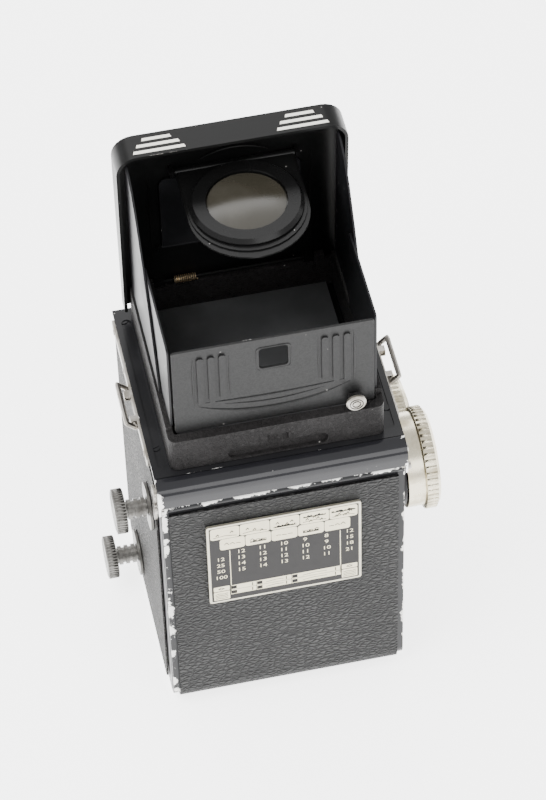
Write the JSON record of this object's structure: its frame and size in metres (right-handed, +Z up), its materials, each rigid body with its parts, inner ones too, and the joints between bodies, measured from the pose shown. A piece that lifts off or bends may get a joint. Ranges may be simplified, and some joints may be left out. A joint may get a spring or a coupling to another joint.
{
  "type": "twin lens reflex camera",
  "caption": "Roll-film twin lens reflex camera with its viewing hood open: folding hood, magnifier, focusing front, side knobs, strap bails and L-shaped back door.",
  "frame": {"origin": "on the ground under the middle of the whole object's box", "axes": "+Z up, the lenses face -Y, +X to the viewer's left"},
  "size_m": [0.0988, 0.0952, 0.1828],
  "materials": {
    "black_enamel": "glossy black enamel, worn to bare metal at the edges",
    "enamelled_casting": "black enamel on a light-alloy casting",
    "crackle_enamel": "satin wrinkle finish",
    "covering_leather": "grained, rubbed",
    "bright_steel": "brushed, tarnished",
    "turned_aluminium": "turned and knurled",
    "old_brass": "dull",
    "table_enamel": "printed enamel",
    "optical_glass": "clear",
    "ground_glass": "finely ground",
    "silvered_glass": "front-silvered"
  },
  "bodies": {
    "camera_body": {"body_casting": "enamelled_casting", "top_deck": "black_enamel", "hinge_bar": "black_enamel", "door_hinge_pin": "bright_steel", "side_rail_left": "bright_steel", "side_rail_right": "bright_steel", "side_leather_left": "covering_leather", "side_leather_right": "covering_leather", "hood_base": "crackle_enamel", "screen_frame": "black_enamel", "focusing_screen": "ground_glass", "mirror_carrier": "enamelled_casting", "mirror": "silvered_glass", "light_chamber": "enamelled_casting", "distance_scale": "table_enamel", "lid_hinge_pin": "old_brass", "knob_flange_upper": "turned_aluminium", "knob_flange_lower": "turned_aluminium", "front_leaf_left": "black_enamel", "front_leaf_right": "black_enamel"},
    "bail_left": {"strap_bail_left": "bright_steel"},
    "bail_right": {"strap_bail_right": "bright_steel"},
    "knob_upper": {"spool_knob_upper": "turned_aluminium"},
    "knob_lower": {"spool_knob_lower": "turned_aluminium"},
    "guide_roller_upper": {"roller_upper": "bright_steel"},
    "guide_roller_lower": {"roller_lower": "bright_steel"},
    "winder": {"wind_knob": "turned_aluminium", "wind_shaft": "bright_steel"},
    "take_up": {"take_up_spool": "black_enamel"},
    "counter": {"counter_dial": "table_enamel"},
    "focusing": {"focus_knob": "turned_aluminium", "focus_shaft": "bright_steel"},
    "front_standard": {"lens_board": "enamelled_casting", "focus_rack": "old_brass", "viewing_lens_barrel": "bright_steel", "viewing_lens": "optical_glass", "shutter_housing": "enamelled_casting", "taking_lens_barrel": "bright_steel", "taking_lens": "optical_glass", "sync_socket": "bright_steel", "cable_socket": "bright_steel"},
    "stop_setting": {"stop_lever": "bright_steel"},
    "speed_setting": {"speed_lever": "bright_steel"},
    "release": {"release_lever": "bright_steel"},
    "door": {"back_door": "black_enamel", "back_leather": "covering_leather", "exposure_table": "table_enamel", "pressure_spring": "bright_steel", "tripod_bush": "bright_steel"},
    "film_press": {"pressure_plate": "black_enamel"},
    "latch": {"door_latch": "bright_steel"},
    "hood_lid": {"lid": "black_enamel"},
    "magnifier": {"magnifier_arm": "black_enamel", "magnifier_ring": "black_enamel", "magnifier_lens": "optical_glass"},
    "sports_flap": {"finder_flap": "crackle_enamel"},
    "hood_back": {"back_panel": "crackle_enamel"},
    "catch": {"catch_button": "bright_steel"},
    "leaf_left": {"rear_leaf_left": "crackle_enamel"},
    "leaf_right": {"rear_leaf_right": "crackle_enamel"}
  },
  "joints": [
    {"name": "bail_left_swing", "type": "hinge", "parent": "camera_body", "child": "bail_left", "pos_m": [0.0393, 0.01015, 0.10485], "axis": [0, -1, 0], "range_deg": [-95, 30]},
    {"name": "bail_right_swing", "type": "hinge", "parent": "camera_body", "child": "bail_right", "pos_m": [-0.0393, 0.01015, 0.10485], "axis": [0, 1, 0], "range_deg": [-95, 30]},
    {"name": "spool_knob_upper_pull", "type": "slide", "parent": "camera_body", "child": "knob_upper", "axis": [1, 0, 0], "range_m": [0, 0.007]},
    {"name": "spool_knob_lower_pull", "type": "slide", "parent": "camera_body", "child": "knob_lower", "axis": [1, 0, 0], "range_m": [0, 0.007]},
    {"name": "roller_upper_turn", "type": "hinge", "parent": "camera_body", "child": "guide_roller_upper", "pos_m": [0, 0.03765, 0.06805], "axis": [1, 0, 0], "continuous": true},
    {"name": "roller_lower_turn", "type": "hinge", "parent": "camera_body", "child": "guide_roller_lower", "pos_m": [0, 0.03765, 0.00645], "axis": [1, 0, 0], "continuous": true},
    {"name": "wind_turn", "type": "hinge", "parent": "camera_body", "child": "winder", "pos_m": [-0.038, 0.02805, 0.07925], "axis": [-1, 0, 0], "continuous": true},
    {"name": "take_up_turn", "type": "hinge", "parent": "camera_body", "child": "take_up", "pos_m": [0, 0.02805, 0.07925], "axis": [-1, 0, 0], "continuous": true},
    {"name": "counter_turn", "type": "hinge", "parent": "camera_body", "child": "counter", "pos_m": [-0.038, 0.02805, 0.07925], "axis": [-1, 0, 0], "continuous": true},
    {"name": "focus_turn", "type": "hinge", "parent": "camera_body", "child": "focusing", "pos_m": [-0.038, -0.00155, 0.05925], "axis": [1, 0, 0], "range_deg": [0, 101.8]},
    {"name": "standard_slide", "type": "slide", "parent": "camera_body", "child": "front_standard", "axis": [0, -1, 0], "range_m": [0, 0.00639]},
    {"name": "stop_turn", "type": "hinge", "parent": "front_standard", "child": "stop_setting", "pos_m": [0, -0.03965, 0.03725], "axis": [0, 1, 0], "range_deg": [-50, 50]},
    {"name": "speed_turn", "type": "hinge", "parent": "front_standard", "child": "speed_setting", "pos_m": [0, -0.03965, 0.03725], "axis": [0, 1, 0], "range_deg": [-45, 60]},
    {"name": "release_swing", "type": "hinge", "parent": "front_standard", "child": "release", "pos_m": [0, -0.03205, 0.01085], "axis": [0, 1, 0], "range_deg": [-20, 20], "stiffness_Nm_per_rad": 0.002},
    {"name": "door_swing", "type": "hinge", "parent": "camera_body", "child": "door", "pos_m": [0, 0.045, 0.09755], "axis": [1, 0, 0], "range_deg": [0, 90]},
    {"name": "pressure_plate_press", "type": "slide", "parent": "door", "child": "film_press", "axis": [0, 1, 0], "range_m": [0, 0.0003], "stiffness_N_per_m": 800},
    {"name": "latch_slide", "type": "slide", "parent": "door", "child": "latch", "axis": [0, 1, 0], "range_m": [0, 0.002]},
    {"name": "lid_swing", "type": "hinge", "parent": "camera_body", "child": "hood_lid", "pos_m": [0, -0.02425, 0.12045], "axis": [-1, 0, 0], "range_deg": [0, 5]},
    {"name": "magnifier_swing", "type": "hinge", "parent": "hood_lid", "child": "magnifier", "pos_m": [0, -0.02325, 0.16795], "axis": [-1, 0, 0], "range_deg": [0, 88]},
    {"name": "sports_flap_swing", "type": "hinge", "parent": "hood_lid", "child": "sports_flap", "pos_m": [0, -0.0247, 0.13525], "axis": [1, 0, 0], "range_deg": [-85, 0]},
    {"name": "back_panel_fold", "type": "hinge", "parent": "camera_body", "child": "hood_back", "pos_m": [0, 0.03575, 0.12105], "axis": [1, 0, 0], "range_deg": [0, 90]},
    {"name": "catch_press", "type": "slide", "parent": "camera_body", "child": "catch", "axis": [0, -1, 0], "range_m": [0, 0.0006], "stiffness_N_per_m": 300},
    {"name": "rear_leaf_left_fold", "type": "hinge", "parent": "camera_body", "child": "leaf_left", "pos_m": [0.03078, 0.01745, 0.12265], "axis": [0, -1, 0], "range_deg": [0, 90]},
    {"name": "rear_leaf_right_fold", "type": "hinge", "parent": "camera_body", "child": "leaf_right", "pos_m": [-0.03078, 0.01745, 0.12365], "axis": [0, 1, 0], "range_deg": [0, 90]}
  ],
  "couplings": [
    {"joint": "focus_turn", "follows": "standard_slide", "rad_per_m": 277.78},
    {"joint": "take_up_turn", "follows": "wind_turn", "ratio": 1},
    {"joint": "counter_turn", "follows": "wind_turn", "ratio": 0.06}
  ]
}
